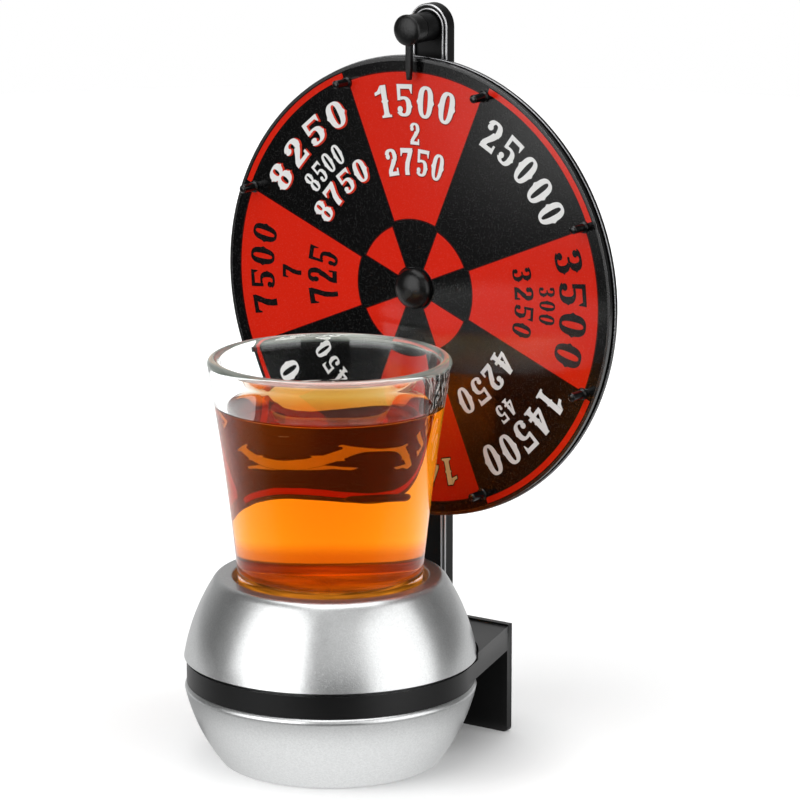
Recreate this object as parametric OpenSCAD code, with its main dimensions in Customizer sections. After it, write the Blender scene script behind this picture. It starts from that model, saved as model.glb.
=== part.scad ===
// Drinking game spinner wheel: a ball-shaped base that holds a shot glass, a black bracket
// round its middle, a post on the bracket, and a wheel with eight pegs that flick a pointer.
// Millimetres, +Z up. The origin is on the table under the ball, and the wheel faces -Y.

/* [Ball base] */
// Radius of the upper shell at its lower edge
shell_r = 30; // [28:0.5:33]
// Radius at which the upper shell's side would meet its top face
shoulder_r = 23.3; // [22.5:0.1:26]
// How far the upper shell's side bows out from a straight cone
upper_bow = 0.97; // [0.3:0.01:1.5]
// Height of the upper shell above its lower edge
upper_h = 16.8; // [14:0.1:20]
// Width of the rounding at the top of the upper shell
shoulder_round = 0.8; // [0.6:0.1:2]
// Radius of the lower shell at the table
foot_r = 22.6; // [21.5:0.1:24]
// How far the lower shell's side bows out from a straight cone
lower_bow = 0.95; // [0.3:0.01:1.8]
// Height of the lower shell from the table to the band
lower_h = 16.9; // [14:0.1:20]
// Chamfer round the top edge of the lower shell
lower_chamfer = 1; // [0.3:0.1:1.5]
// Wall of both shells
shell_wall = 1.8; // [1.4:0.1:2.4]
// Dark line between the band and the upper shell
shell_line = 0.75; // [0.3:0.05:1]
// Depth of the recess that the glass stands in
recess_depth = 3.3; // [2:0.1:5]
// Radial gap between the glass and the recess
recess_gap = 1.4; // [1:0.1:2.4]
// Thickness of the non-slip pad
pad_t = 1; // [0.6:0.1:1.5]
// How far the pad stands below the shell
pad_proud = 0.3; // [0.2:0.05:0.5]

/* [Bracket] */
// Height of the black band round the ball
band_h = 4.6; // [4.2:0.1:8]
// How far the band lies inside the upper shell's edge
band_inset = 0.5; // [0.3:0.1:1]
// Radial thickness of the band
band_t = 2; // [1.5:0.1:2.6]
// Thickness of the plate inside the band that the shells clamp
web_t = 1.6; // [1.2:0.1:2.2]
// Wall of the arms
arm_wall = 1.5; // [1.2:0.1:2]
// How far the arms' top face stands above the band
arm_rise = 1.55; // [0.4:0.05:2]
// Height of the arms' sides
arm_h = 5.1; // [4.6:0.1:8]
// Width of the foot plate
foot_w = 40.4; // [36:0.1:46]
// Thickness of the foot plate
foot_t = 1.4; // [1:0.1:2]
// Distance from the front of the post to the back of the foot plate
foot_reach = 1.9; // [1.4:0.1:6]
// How far the foot plate stands above the arms
foot_rise = 0.4; // [0.2:0.1:1]
// Width of the corners cut round at the foot plate's lower edge
foot_round = 1.3; // [0.5:0.1:3]

/* [Post] */
// Width of the post
post_w = 9.4; // [8.8:0.05:12]
// Thickness of the post
post_t = 2.6; // [2.4:0.1:4]
// Width of the border round the post's front panel
panel_border = 1.15; // [0.8:0.05:1.6]
// Depth of the front panel
panel_depth = 0.6; // [0.3:0.1:0.8]
// Spacing of the ribs on the back of the post
rib_pitch = 14; // [8:1:20]

/* [Wheel] */
// Radius of the wheel
wheel_r = 48.2; // [42:0.1:52]
// Height of the wheel's lowest point above the bracket
wheel_lift = 22.3; // [18:0.1:30]
// Thickness of the front moulding
disc_t = 1.2; // [1.2:0.1:2.4]
// Thickness of the back moulding
back_t = 1; // [1:0.1:2]
// How far the front moulding's edge lies inside the wheel's radius
edge_inset = 0.3; // [0.2:0.1:0.8]
// Height of the lip round the label
lip_h = 0.3; // [0.3:0.1:1]
// Width of the lip round the label
lip_w = 0.6; // [0.5:0.1:1.2]
// Thickness of the printed label
label_t = 0.2; // [0.1:0.05:0.4]
// Distance from the back of the wheel to the front of the post
axle_gap = 2.4; // [2:0.1:4]
// Radius of the domed cap over the hub
hub_cap_r = 4.35; // [4:0.05:6]
// Height of the hub cap above the front moulding
hub_cap_h = 3.1; // [2.9:0.1:3.6]

/* [Pegs] */
// Number of pegs
peg_count = 8; // [4:1:12]
// Distance from the wheel's edge to the pegs' centres
peg_inset = 3.4; // [3:0.1:6]
// Diameter of a peg
peg_d = 1.7; // [1.4:0.1:2.4]
// Diameter of the collar at a peg's foot
collar_d = 2.4; // [2.2:0.1:3.4]
// How far a peg stands out of the label
peg_proud = 4.3; // [3.4:0.1:5]

/* [Pointer] */
// Distance from the pointer's pivot to its tip
blade_reach = 10.3; // [9:0.1:13]
// How far the tip reaches in past the outside of the pegs
tip_overlap = 2.05; // [1.2:0.05:2.6]
// Width of the blade
blade_w = 1.25; // [1:0.05:2]
// Thickness of the blade
blade_t = 1; // [0.8:0.1:1.5]
// Radius of the pointer's head
head_r = 3.05; // [2.8:0.05:3.6]
// Length of the pointer's head along its pin
head_l = 2.95; // [2:0.05:3.2]
// Height of the pointer's domed cap
pointer_cap_h = 1.4; // [0.8:0.1:1.5]

/* [Shot glass] */
// Radius of the glass at its rim
glass_rim_r = 25; // [23.5:0.1:27]
// Radius of the glass at its foot, before rounding
glass_foot_r = 18.6; // [17.5:0.1:19]
// Height of the glass
glass_h = 48.5; // [44:0.5:60]
// Wall of the glass
glass_wall = 2.4; // [1.6:0.1:3]
// Thickness of the glass's floor
glass_floor = 3; // [2.4:0.1:9]
// Gap between the glass's rim and the pegs' tips
glass_clear = 0.6; // [0.5:0.1:2]

/* [Fasteners] */
// Diameter of the three screws that clamp the shells
shell_screw_d = 3; // [2.5:0.1:3.4]
// Diameter of the axle bolt's shoulder
shoulder_d = 4; // [3.6:0.1:4.4]
// Diameter of the axle bolt's thread
thread_d = 3; // [2.5:0.1:3.2]
// Width of the axle nut across its flats
nut_af = 5.5; // [5:0.1:6]
// Diameter of the pointer's screw
pointer_screw_d = 2; // [1.6:0.1:2.4]
// Diameter of the screw that holds the post in its socket
post_screw_d = 2.5; // [2:0.1:3]
// Diameter of the four screws in the back of the wheel
wheel_screw_d = 1.7; // [1.4:0.1:2]

/* [Hidden] */
black = [0.11, 0.11, 0.12];
satin = [0.80, 0.80, 0.82];
$fn = 96;
eps = 0.01;
slip = 0.05;          // radial gap of a pin in its bore
fit_gap = 0.1;        // gap round pieces that are pushed together
// heights, from the table up
band_top = lower_h + band_h;
lip_z = band_top + shell_line;
top_z = lip_z + upper_h;
recess_z = top_z - recess_depth;
cup_z = recess_z - shell_wall;
web_z = lower_h + (band_h - web_t) / 2;
web_top = web_z + web_t;
bracket_top = band_top + arm_rise;
arm_z = bracket_top - arm_h;
foot_top = bracket_top + foot_rise;
axle_z = bracket_top + wheel_lift + wheel_r;
peg_circle_r = wheel_r - peg_inset;
tip_z = axle_z + peg_circle_r + peg_d / 2 - tip_overlap;
pivot_z = tip_z + blade_reach;
// places along Y, from the glass back to the foot plate
label_y = glass_rim_r + glass_clear + peg_proud;
disc_y = label_y + label_t;
back_y = disc_y + disc_t;
rear_y = back_y + back_t;
post_y = rear_y + axle_gap;
post_back = post_y + post_t;
foot_back = post_y + foot_reach;
// ball
lower_r = shell_r - 0.1;
ring_r = shell_r - band_inset;
spigot_r = ring_r - band_t - fit_gap;
spigot_t = 1.4;
recess_r = glass_foot_r + recess_gap;
pad_r = foot_r - 1.85;
pad_seat = pad_t;
floor_z = pad_seat + 1.6;
screw_ring_r = foot_r - 6.35;
screw_seat_z = lower_h / 2;
screw_tip_z = cup_z - 4.6;
screw_boss_r = shell_screw_d / 2 + 1.9;
screw_head_r = shell_screw_d / 2 + 1.3;
web_inner_r = screw_ring_r - 4;
// post and its socket
tenon_w = post_w - 1.75;
tenon_t = post_t - 0.3;
tenon_y = post_y + 0.15;
socket_floor = 0.9;
tenon_z = arm_z + socket_floor + fit_gap;
tenon_screw_z = (tenon_z + bracket_top) / 2;
axle_boss_r = post_w / 2 - 0.4;
nut_t = 2.4;
washer_t = 0.5;
boss_y = rear_y + slip + washer_t + slip;
// hub, from the front moulding forwards
bush_r = shoulder_d / 2 + 1;
bush_flange_r = bush_r + 0.7;
bush_flange_t = 0.8;
bolt_head_r = shoulder_d / 2 + 0.5;
bolt_head_t = 1;
// pointer, from the pegs forwards
head_y = label_y - 2.5;
head_back = head_y + head_l;
pointer_boss_y = head_back + 0.15;
pin_head_r = pointer_screw_d / 2 + 0.75;
pin_seat = 1.2;

// Points of an arc from a to b that bows out by h on the right of the way from a to b
function bowed(a, b, h, n = 14) =
    let (c = norm(b - a), rad = (c * c / 4 + h * h) / (2 * h), half = asin(c / 2 / rad),
         along = (b - a) / c, out = [along[1], -along[0]], mid = (a + b) / 2 - out * (rad - h))
    [for (i = [0 : n]) let (t = half * (2 * i / n - 1)) mid + rad * (sin(t) * along + cos(t) * out)];
// Points of a soft corner from a to b that leans towards the corner point c
function corner(a, c, b, n = 6) =
    [for (i = [0 : n]) let (t = i / n) a * (1 - t) * (1 - t) + c * 2 * t * (1 - t) + b * t * t];
function reversed(list) = [for (i = [len(list) - 1 : -1 : 0]) list[i]];
function all_but_last(list) = [for (i = [0 : len(list) - 2]) list[i]];

// Puts its children with their own Z axis pointing to the front, at height z
module facing(y, z) { translate([0, y, z]) rotate([90, 0, 0]) children(); }
// Copies its children round a circle in the XY plane
module around(count, radius, start = 0) {
    for (i = [0 : count - 1]) rotate([0, 0, start + 360 * i / count]) translate([radius, 0, 0]) children();
}
// A tube that stands on z
module tube(outer_r, inner_r, z, h) {
    translate([0, 0, z]) difference() {
        cylinder(r = outer_r, h = h);
        translate([0, 0, -eps]) cylinder(r = inner_r, h = h + 2 * eps);
    }
}

module at_shell_screws() { around(3, screw_ring_r, 90) children(); }

module lower_shell() {
    side = bowed([foot_r, pad_proud + 0.25], [lower_r, lower_h - lower_chamfer], lower_bow);
    inside = bowed([foot_r - shell_wall, floor_z], [lower_r - shell_wall, lower_h - 3.4], lower_bow);
    color(satin) difference() {
        union() {
            rotate_extrude() polygon(concat(
                [[0, pad_proud], [foot_r - 0.4, pad_proud]], side,
                [[lower_r - 0.6 * lower_chamfer, lower_h], [spigot_r, lower_h],
                 [spigot_r, web_z - fit_gap], [spigot_r - spigot_t, web_z - fit_gap],
                 [spigot_r - spigot_t, lower_h - 1.4]],
                reversed(inside), [[0, floor_z]]));
            at_shell_screws() translate([0, 0, pad_seat + eps])
                cylinder(r = screw_head_r + 1.5, h = web_z - pad_seat - eps);
        }
        translate([0, 0, -eps]) cylinder(r = pad_r + fit_gap, h = pad_seat + eps);
        at_shell_screws() {
            cylinder(r = screw_head_r + 0.4, h = screw_seat_z);
            cylinder(r = shell_screw_d / 2 + 0.2, h = web_top);
        }
    }
}

module upper_shell() {
    side = bowed([shell_r, lip_z], [shoulder_r, top_z], upper_bow);
    rounded = all_but_last(side);
    shoulder = corner(rounded[len(rounded) - 1], [shoulder_r, top_z], [shoulder_r - shoulder_round, top_z]);
    inside = bowed([shell_r - shell_wall, lip_z + 2.5], [shoulder_r + 0.1, cup_z], upper_bow);
    color(satin) difference() {
        union() {
            rotate_extrude() polygon(concat(
                all_but_last(rounded), shoulder,
                [[recess_r + 0.4, top_z], [recess_r, top_z - 0.4], [recess_r, recess_z],
                 [0, recess_z], [0, cup_z]],
                reversed(inside),
                [[spigot_r - spigot_t, lip_z + 0.9], [spigot_r - spigot_t, web_top + fit_gap],
                 [spigot_r, web_top + fit_gap], [spigot_r, lip_z]]));
            at_shell_screws() translate([0, 0, web_top])
                cylinder(r = screw_boss_r, h = cup_z - web_top + eps);
        }
        at_shell_screws() translate([0, 0, web_top - eps])
            cylinder(r = shell_screw_d / 2 + slip, h = screw_tip_z + 0.5 - web_top);
    }
}

module base_pad() { color(black) cylinder(r = pad_r, h = pad_t); }

module shell_screws() {
    color("gainsboro") at_shell_screws() {
        difference() {
            translate([0, 0, screw_seat_z - 2]) cylinder(r = screw_head_r, h = 2);
            for (turn = [0, 90]) rotate([0, 0, turn]) translate([-1.6, -0.35, screw_seat_z - 2 - eps])
                cube([3.2, 0.7, 1]);
        }
        translate([0, 0, screw_seat_z - eps]) cylinder(d = shell_screw_d, h = screw_tip_z - screw_seat_z);
    }
}

// Outline of a disc of radius r with straight sides drawn to a flat end at y_end
module teardrop(r, half_w, y_end) {
    reach = norm([half_w, y_end]);
    a = atan2(y_end, half_w) - acos(r / reach);
    circle(r = r);
    polygon([[r * cos(a), r * sin(a)], [half_w, y_end], [-half_w, y_end], [-r * cos(a), r * sin(a)]]);
}

// The foot plate seen from the front, with its lower corners cut round
module foot_outline() {
    half_w = foot_w / 2;
    right = corner([half_w - foot_round, 0], [half_w, 0], [half_w, foot_round]);
    polygon(concat(right, [[half_w, foot_top], [-half_w, foot_top]],
        reversed([for (p = right) [-p[0], p[1]]])));
}

module bracket() {
    arm_half_w = foot_w / 2 - 0.3;
    arm_end = foot_back - foot_t / 2;
    edge_w = 1.3;
    edge_t = 0.3;
    color(black) difference() {
        union() {
            tube(ring_r, ring_r - band_t, lower_h, band_h);
            tube(ring_r - band_t / 2, web_inner_r, web_z, web_t);
            difference() {
                translate([0, 0, arm_z]) linear_extrude(bracket_top - arm_z)
                    teardrop(ring_r, arm_half_w, arm_end);
                translate([0, 0, arm_z - eps]) linear_extrude(bracket_top - arm_z - arm_wall)
                    teardrop(ring_r - arm_wall, arm_half_w - arm_wall, arm_end);
                translate([0, 0, arm_z - eps]) cylinder(r = ring_r - band_t / 2, h = bracket_top);
                translate([0, 0, band_top]) cylinder(r = shell_r + 3 * fit_gap, h = bracket_top);
            }
            facing(foot_back, 0) linear_extrude(foot_t) foot_outline();
            for (side = [-1, 1]) translate([side * (foot_w - edge_w) / 2 - edge_w / 2,
                foot_back - foot_t - edge_t, foot_round])
                cube([edge_w, edge_t + eps, bracket_top - arm_wall - foot_round]);
            translate([-tenon_w / 2 - arm_wall, tenon_y - arm_wall, arm_z])
                cube([tenon_w + 2 * arm_wall, tenon_t + 2 * arm_wall, bracket_top - arm_z - eps]);
        }
        translate([-tenon_w / 2 - fit_gap, tenon_y - fit_gap, tenon_z - fit_gap])
            cube([tenon_w + 2 * fit_gap, tenon_t + 2 * fit_gap, arm_h]);
        translate([-post_w / 2 - fit_gap, post_y - fit_gap, bracket_top])
            cube([post_w + 2 * fit_gap, post_t + 2 * fit_gap, foot_rise + eps]);
        at_shell_screws() cylinder(r = shell_screw_d / 2 + 0.2, h = top_z);
        facing(tenon_y + tenon_t + arm_wall + eps, tenon_screw_z)
            cylinder(d = post_screw_d + 2 * slip, h = arm_wall + fit_gap + tenon_t / 2);
    }
}

// The post's outline, drawn in by a margin, from height z0 up
module post_outline(margin, z0) {
    translate([-post_w / 2 + margin, z0]) square([post_w - 2 * margin, pivot_z - z0]);
    translate([0, pivot_z]) circle(r = post_w / 2 - margin);
}

module post() {
    rib_count = floor((pivot_z - bracket_top - 8) / rib_pitch);
    pocket_h = (pivot_z - bracket_top - 8) / rib_count;
    pocket_d = post_t - panel_depth - 0.9;
    color(black) difference() {
        union() {
            difference() {
                facing(post_back, 0) linear_extrude(post_t) post_outline(0, bracket_top);
                facing(post_y + panel_depth, 0) linear_extrude(post_t)
                    post_outline(panel_border, bracket_top + 2);
                for (i = [0 : rib_count - 1])
                    translate([-post_w / 2 + panel_border, post_back - pocket_d,
                        bracket_top + 2 + i * pocket_h])
                        cube([post_w - 2 * panel_border, pocket_d + eps, pocket_h - 0.9]);
            }
            translate([-tenon_w / 2, tenon_y, tenon_z]) cube([tenon_w, tenon_t, bracket_top - tenon_z + 1]);
            facing(post_back, axle_z) cylinder(r = axle_boss_r, h = post_back - boss_y);
            facing(post_back, pivot_z) cylinder(r = head_r - 0.05, h = post_back - pointer_boss_y);
        }
        facing(post_back + eps, axle_z) {
            cylinder(r = (nut_af / 2 + slip) / cos(30), h = nut_t + eps, $fn = 6);
            cylinder(r = thread_d / 2 + slip, h = axle_gap + post_t + 1);
        }
        facing(post_back + eps, pivot_z)
            cylinder(r = pointer_screw_d / 2 + slip, h = post_back - pointer_boss_y + 1);
        facing(post_back + eps, tenon_screw_z) cylinder(r = post_screw_d / 2 + slip, h = tenon_t - 0.2);
    }
}

module post_screw() {
    seat_y = tenon_y + tenon_t + arm_wall;
    color("gainsboro") {
        difference() {
            facing(seat_y + 1.6, tenon_screw_z) cylinder(r = post_screw_d / 2 + 0.6, h = 1.6);
            for (turn = [0, 90]) facing(seat_y + 1.6 + eps, tenon_screw_z) rotate([0, 0, turn])
                translate([-1.1, -0.25, 0]) cube([2.2, 0.5, 0.8]);
        }
        facing(seat_y + eps, tenon_screw_z) cylinder(d = post_screw_d, h = arm_wall + tenon_t - 0.6);
    }
}

module axle_bolt() {
    head_seat = disc_y - bush_flange_t - slip;
    color("gainsboro") difference() {
        union() {
            facing(boss_y, axle_z) cylinder(d = shoulder_d, h = boss_y - head_seat);
            facing(post_back - 0.1, axle_z) cylinder(d = thread_d, h = post_back - boss_y);
            facing(head_seat, axle_z) cylinder(r = bolt_head_r, h = bolt_head_t);
        }
        facing(head_seat - bolt_head_t + 0.5, axle_z) cylinder(r = 1.2, h = 1, $fn = 6);
    }
}

module axle_nut() {
    color("gainsboro") difference() {
        facing(post_back, axle_z) cylinder(r = nut_af / 2 / cos(30), h = nut_t - 0.05, $fn = 6);
        facing(post_back + eps, axle_z) cylinder(r = thread_d / 2 + slip, h = nut_t + 1);
    }
}

module axle_washer() {
    color("gainsboro") facing(boss_y - slip, axle_z)
        tube(axle_boss_r - 0.3, shoulder_d / 2 + slip, 0, washer_t);
}

module hub_bush() {
    color("goldenrod") difference() {
        union() {
            facing(rear_y, axle_z) cylinder(r = bush_r, h = rear_y - disc_y + eps);
            facing(disc_y, axle_z) cylinder(r = bush_flange_r, h = bush_flange_t);
        }
        facing(rear_y + eps, axle_z)
            cylinder(r = shoulder_d / 2 + slip, h = rear_y - disc_y + bush_flange_t + 1);
    }
}

module hub_cap() {
    side_h = 0.6;
    crown = [for (i = [0 : 14]) let (t = 90 * i / 14) [hub_cap_r * cos(t),
        side_h + (hub_cap_h - side_h) * sin(t)]];
    inner_h = hub_cap_h - 1;
    color(black) facing(disc_y, axle_z) difference() {
        rotate_extrude() polygon(concat([[0, 0], [hub_cap_r, 0]], crown));
        translate([0, 0, -eps]) cylinder(r = bush_flange_r + slip, h = bush_flange_t + 0.1);
        cylinder(r = bolt_head_r + 0.3, h = inner_h);
    }
}

// Places its children at each peg, on the pegs' circle
module at_pegs(y) {
    for (i = [0 : peg_count - 1]) facing(y, axle_z) rotate([0, 0, 360 * (i + 0.5) / peg_count])
        translate([0, peg_circle_r, 0]) children();
}
// Places its children at each screw in the back of the wheel
module at_wheel_screws(y) {
    for (i = [0 : 3]) facing(y, axle_z) rotate([0, 0, 45 + 90 * i]) translate([0, wheel_r / 2, 0])
        children();
}

module wheel_disc() {
    edge_r = wheel_r - edge_inset;
    color(black) difference() {
        union() {
            facing(back_y, axle_z) cylinder(r = edge_r - 0.6, h = disc_t);
            facing(back_y - 0.6, axle_z) cylinder(r = edge_r, h = disc_t - 0.6);
            facing(disc_y + eps, axle_z) tube(edge_r, edge_r - lip_w, 0, lip_h + eps);
        }
        facing(back_y + eps, axle_z) cylinder(r = bush_r + slip, h = disc_t + 1);
        at_pegs(back_y + eps) cylinder(r = peg_d / 2 + slip, h = disc_t + 1);
        at_wheel_screws(back_y + eps) cylinder(r = wheel_screw_d / 2 + slip, h = disc_t - 0.2);
    }
}

module wheel_back() {
    web = 0.5 * back_t;
    rim_w = peg_inset + 1;
    spoke_l = wheel_r - rim_w - 5;
    color(black) difference() {
        union() {
            facing(back_y + web, axle_z) cylinder(r = wheel_r, h = web);
            facing(rear_y, axle_z) tube(wheel_r, wheel_r - rim_w, 0, back_t);
            facing(rear_y, axle_z) cylinder(r = bush_r + 5, h = back_t);
            for (i = [0 : 7]) facing(rear_y, axle_z) rotate([0, 0, 45 * i]) translate([-1, 5, 0])
                cube([2, spoke_l, back_t]);
            at_wheel_screws(rear_y) cylinder(r = wheel_screw_d / 2 + 2.2, h = back_t);
        }
        facing(rear_y + eps, axle_z) cylinder(r = bush_r + slip, h = back_t + 1);
        at_wheel_screws(rear_y + eps) {
            cylinder(r = wheel_screw_d / 2 + 0.15, h = back_t + 1);
            cylinder(r1 = wheel_screw_d / 2 + 0.9, r2 = wheel_screw_d / 2 + 0.1, h = 0.8);
        }
    }
}

module wheel_screws() {
    color("gainsboro") at_wheel_screws(rear_y) difference() {
        union() {
            cylinder(d = wheel_screw_d, h = back_t + disc_t - 0.5);
            cylinder(r1 = wheel_screw_d / 2 + 0.8, r2 = wheel_screw_d / 2, h = 0.75);
        }
        for (turn = [0, 90]) rotate([0, 0, turn]) translate([-0.9, -0.2, -eps]) cube([1.8, 0.4, 0.4]);
    }
}

module face_label() {
    color("firebrick") difference() {
        facing(disc_y, axle_z)
            tube(wheel_r - edge_inset - lip_w - fit_gap, hub_cap_r + fit_gap, 0, label_t);
        at_pegs(disc_y + eps) cylinder(d = collar_d + 2 * fit_gap, h = 1);
    }
}

module pegs() {
    tip_h = disc_t + label_t + peg_proud;
    collar_h = disc_t + label_t + 0.6;
    color(black) at_pegs(back_y) rotate_extrude($fn = 32)
        polygon([[0, 0.05], [peg_d / 2, 0.05], [peg_d / 2, disc_t],
        [collar_d / 2, disc_t], [collar_d / 2, collar_h - 0.2], [collar_d / 2 - 0.2, collar_h],
            [peg_d / 2, collar_h],
        [peg_d / 2, tip_h - 0.3], [peg_d / 2 - 0.3, tip_h], [0, tip_h]]);
}

module pointer() {
    tip_w = 0.6 * blade_w;
    root_z = blade_reach - head_r + 0.6;
    color(black) difference() {
        union() {
            facing(head_back, pivot_z) cylinder(r = head_r, h = head_l);
            facing(head_y + blade_t, tip_z) linear_extrude(blade_t)
                polygon([[-tip_w / 2, 0], [tip_w / 2, 0],
                [blade_w / 2, 2.4], [blade_w / 2, root_z], [-blade_w / 2, root_z], [-blade_w / 2, 2.4]]);
        }
        facing(head_back + eps, pivot_z) cylinder(r = pointer_screw_d / 2 + slip, h = head_l + 1);
        facing(head_y + pin_seat, pivot_z) cylinder(r = pin_head_r + 0.3, h = pin_seat + 1);
    }
}

module pointer_cap() {
    rim_r = head_r + 0.15;
    crown = [for (i = [0 : 12]) let (t = 90 * i / 12) [rim_r * cos(t),
        0.3 + (pointer_cap_h - 0.3) * sin(t)]];
    color(black) facing(head_y, pivot_z) rotate_extrude() polygon(concat(
        [[0, -0.35], [pin_head_r + 0.3 - slip, -0.35], [pin_head_r + 0.3 - slip, 0], [rim_r, 0]], crown));
}

module pointer_screw() {
    seat = head_y + pin_seat - slip;
    color("gainsboro") {
        facing(seat, pivot_z) cylinder(r = pin_head_r, h = 0.7);
        facing(post_back - 0.3, pivot_z) cylinder(d = pointer_screw_d, h = post_back - 0.3 - seat + eps);
    }
}

module shot_glass() {
    rise = glass_rim_r - glass_foot_r;
    heel_round = 2;
    function outer(h) = glass_foot_r + rise * (0.67 * h / glass_h + 0.33 * pow(h / glass_h, 2));
    lip = glass_wall / 2;
    lip_h0 = glass_h - lip;
    wall = [for (i = [0 : 12]) let (h = heel_round + (lip_h0 - heel_round) * i / 12) [outer(h), h]];
    bore_h0 = glass_floor + 3;
    bore = [for (i = [0 : 12]) let (h = bore_h0 + (lip_h0 - bore_h0) * i / 12) [outer(h) - glass_wall, h]];
    rim = [for (i = [1 : 7]) let (t = 180 * i / 8) [outer(lip_h0) - lip + lip * cos(t),
        lip_h0 + lip * sin(t)]];
    floor_corner = corner(bore[0], [outer(glass_floor) - glass_wall, glass_floor],
        [outer(0) - glass_wall - 4, glass_floor]);
    color([0.85, 0.93, 0.97, 0.4]) translate([0, 0, recess_z]) rotate_extrude() polygon(concat(
        [[0, 0], [outer(0) - heel_round, 0]], corner([outer(0) - heel_round, 0], [outer(0), 0], wall[0]),
        wall, rim, reversed(bore), floor_corner, [[0, glass_floor]]));
}

lower_shell();
upper_shell();
base_pad();
shell_screws();
bracket();
post();
post_screw();
axle_bolt();
axle_nut();
axle_washer();
wheel_disc();
wheel_back();
wheel_screws();
face_label();
pegs();
hub_bush();
hub_cap();
pointer();
pointer_cap();
pointer_screw();
shot_glass();
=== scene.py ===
import logging
import math
from dataclasses import dataclass
from enum import Enum
from functools import cache, cached_property, reduce
from typing import Any

import bmesh
import bpy
import numpy as np
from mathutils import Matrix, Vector


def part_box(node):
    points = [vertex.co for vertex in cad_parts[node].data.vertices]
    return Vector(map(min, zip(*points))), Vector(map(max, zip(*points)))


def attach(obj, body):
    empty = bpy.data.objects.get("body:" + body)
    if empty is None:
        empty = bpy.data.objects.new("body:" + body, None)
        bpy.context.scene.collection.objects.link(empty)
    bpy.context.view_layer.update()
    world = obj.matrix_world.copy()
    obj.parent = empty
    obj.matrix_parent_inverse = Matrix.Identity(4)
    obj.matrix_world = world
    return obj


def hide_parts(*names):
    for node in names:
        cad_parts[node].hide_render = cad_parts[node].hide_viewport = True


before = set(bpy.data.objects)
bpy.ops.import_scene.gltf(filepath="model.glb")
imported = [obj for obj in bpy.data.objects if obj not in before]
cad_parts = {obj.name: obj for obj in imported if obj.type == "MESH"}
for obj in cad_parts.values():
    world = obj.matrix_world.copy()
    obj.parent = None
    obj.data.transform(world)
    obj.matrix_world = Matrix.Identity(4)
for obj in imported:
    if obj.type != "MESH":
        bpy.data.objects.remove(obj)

log = logging.getLogger("spinner_wheel")
MM = 0.001
SAME_POINT = 1e-7
ARC_POINTS = 40
CORNER_POINTS = 5
BALL_STEPS = 224
GLASS_STEPS = 256
SOFT_CORNER = math.radians(40)
FRONT = np.array([0.0, -1.0, 0.0])
UP = np.array([0.0, 0.0, 1.0])
Array = np.ndarray
Socket = bpy.types.NodeSocket
Pair = tuple[float, float]
Triple = tuple[float, float, float]
Ramp = tuple[float, float, float, float]


# Meshes


@dataclass
class Form:
    """Points and faces of a piece, in metres in the row frame."""

    points: Array
    faces: list[list[int]]


def merged(parts: list[Form]) -> Form:
    """Several forms as one."""
    starts = np.cumsum([0] + [len(part.points) for part in parts[:-1]])
    faces = [[i + int(start) for i in face]
             for part, start in zip(parts, starts) for face in part.faces]
    return Form(np.vstack([part.points for part in parts]), faces)


def grid_faces(rows: int, columns: int, wrap: bool) -> list[list[int]]:
    """Quads between rings of points.

    Args:
        rows: Number of rings.
        columns: Points in a ring.
        wrap: Joins the last ring to the first.

    Returns:
        The quads' point numbers.
    """
    a, b = np.meshgrid(np.arange(rows if wrap else rows - 1), np.arange(columns), indexing="ij")
    c, d = (a + 1) % rows, (b + 1) % columns
    quads = [a * columns + b, a * columns + d, c * columns + d, c * columns + b]
    return np.stack(quads, -1).reshape(-1, 4).tolist()


def lathe(parts: list[Any], steps: int, origin: Array = 0 * UP, axis: Array = UP,
          closed: bool = False) -> Form:
    """A surface of revolution.

    Point = origin + height * axis + radius * (cos t * side + sin t * across).

    Args:
        parts: The profile's parts, with radius and height in millimetres in rows.
        steps: Steps round the circle.
        origin: The axis's point at height 0, in metres.
        axis: Its direction.
        closed: Joins the profile's end to its start.

    Returns:
        The form.
    """
    profile = np.vstack(parts)
    side = np.array([1.0, 0.0, 0.0])
    across = np.cross(axis, side)
    t = np.linspace(0, 2 * np.pi, steps, endpoint=False)[None, :, None]
    radius, height = (profile * MM)[:, :1, None], (profile * MM)[:, 1:, None]
    points = origin + height * axis + radius * (np.cos(t) * side + np.sin(t) * across)
    return Form(points.reshape(-1, 3), grid_faces(len(profile), steps, closed))


def loft(sections: Array) -> Form:
    """A closed skin over rings of points, with a cap at each end.

    Args:
        sections: Rings by points by 3, in metres.

    Returns:
        The form.
    """
    rings, count = sections.shape[:2]
    last = (rings - 1) * count
    caps = [list(range(count)), [last + i for i in reversed(range(count))]]
    return Form(sections.reshape(-1, 3), grid_faces(rings, count, False) + caps)


def unit_rows(rows: Array) -> Array:
    """Rows as unit vectors."""
    return rows / np.maximum(np.linalg.norm(rows, axis=1), 1e-9)[:, None]


def curve(start: Array, knee: Array, stop: Array, count: int) -> Array:
    """A quadratic curve: (1 - s)^2 * start + 2 * s * (1 - s) * knee + s^2 * stop, s from 0 to 1."""
    s = np.linspace(0, 1, count)[:, None]
    return (1 - s) ** 2 * start + 2 * s * (1 - s) * knee + s**2 * stop


def arc(a: Pair, b: Pair, bow: float) -> Array:
    """A circle's arc on the right of the way: radius = (chord^2 / 4 + bow^2) / (2 * bow).

    Args:
        a: Start, radius and height.
        b: End, radius and height.
        bow: Greatest distance from the chord.

    Returns:
        The arc's points in rows.
    """
    start, end = np.array(a), np.array(b)
    chord = np.linalg.norm(end - start)
    radius = (chord**2 / 4 + bow**2) / (2 * bow)
    along = (end - start) / chord
    out = np.array([along[1], -along[0]])
    t = np.linspace(-1, 1, ARC_POINTS)[:, None] * math.asin(chord / 2 / radius)
    return (start + end) / 2 - out * (radius - bow) + radius * (np.sin(t) * along + np.cos(t) * out)


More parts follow.
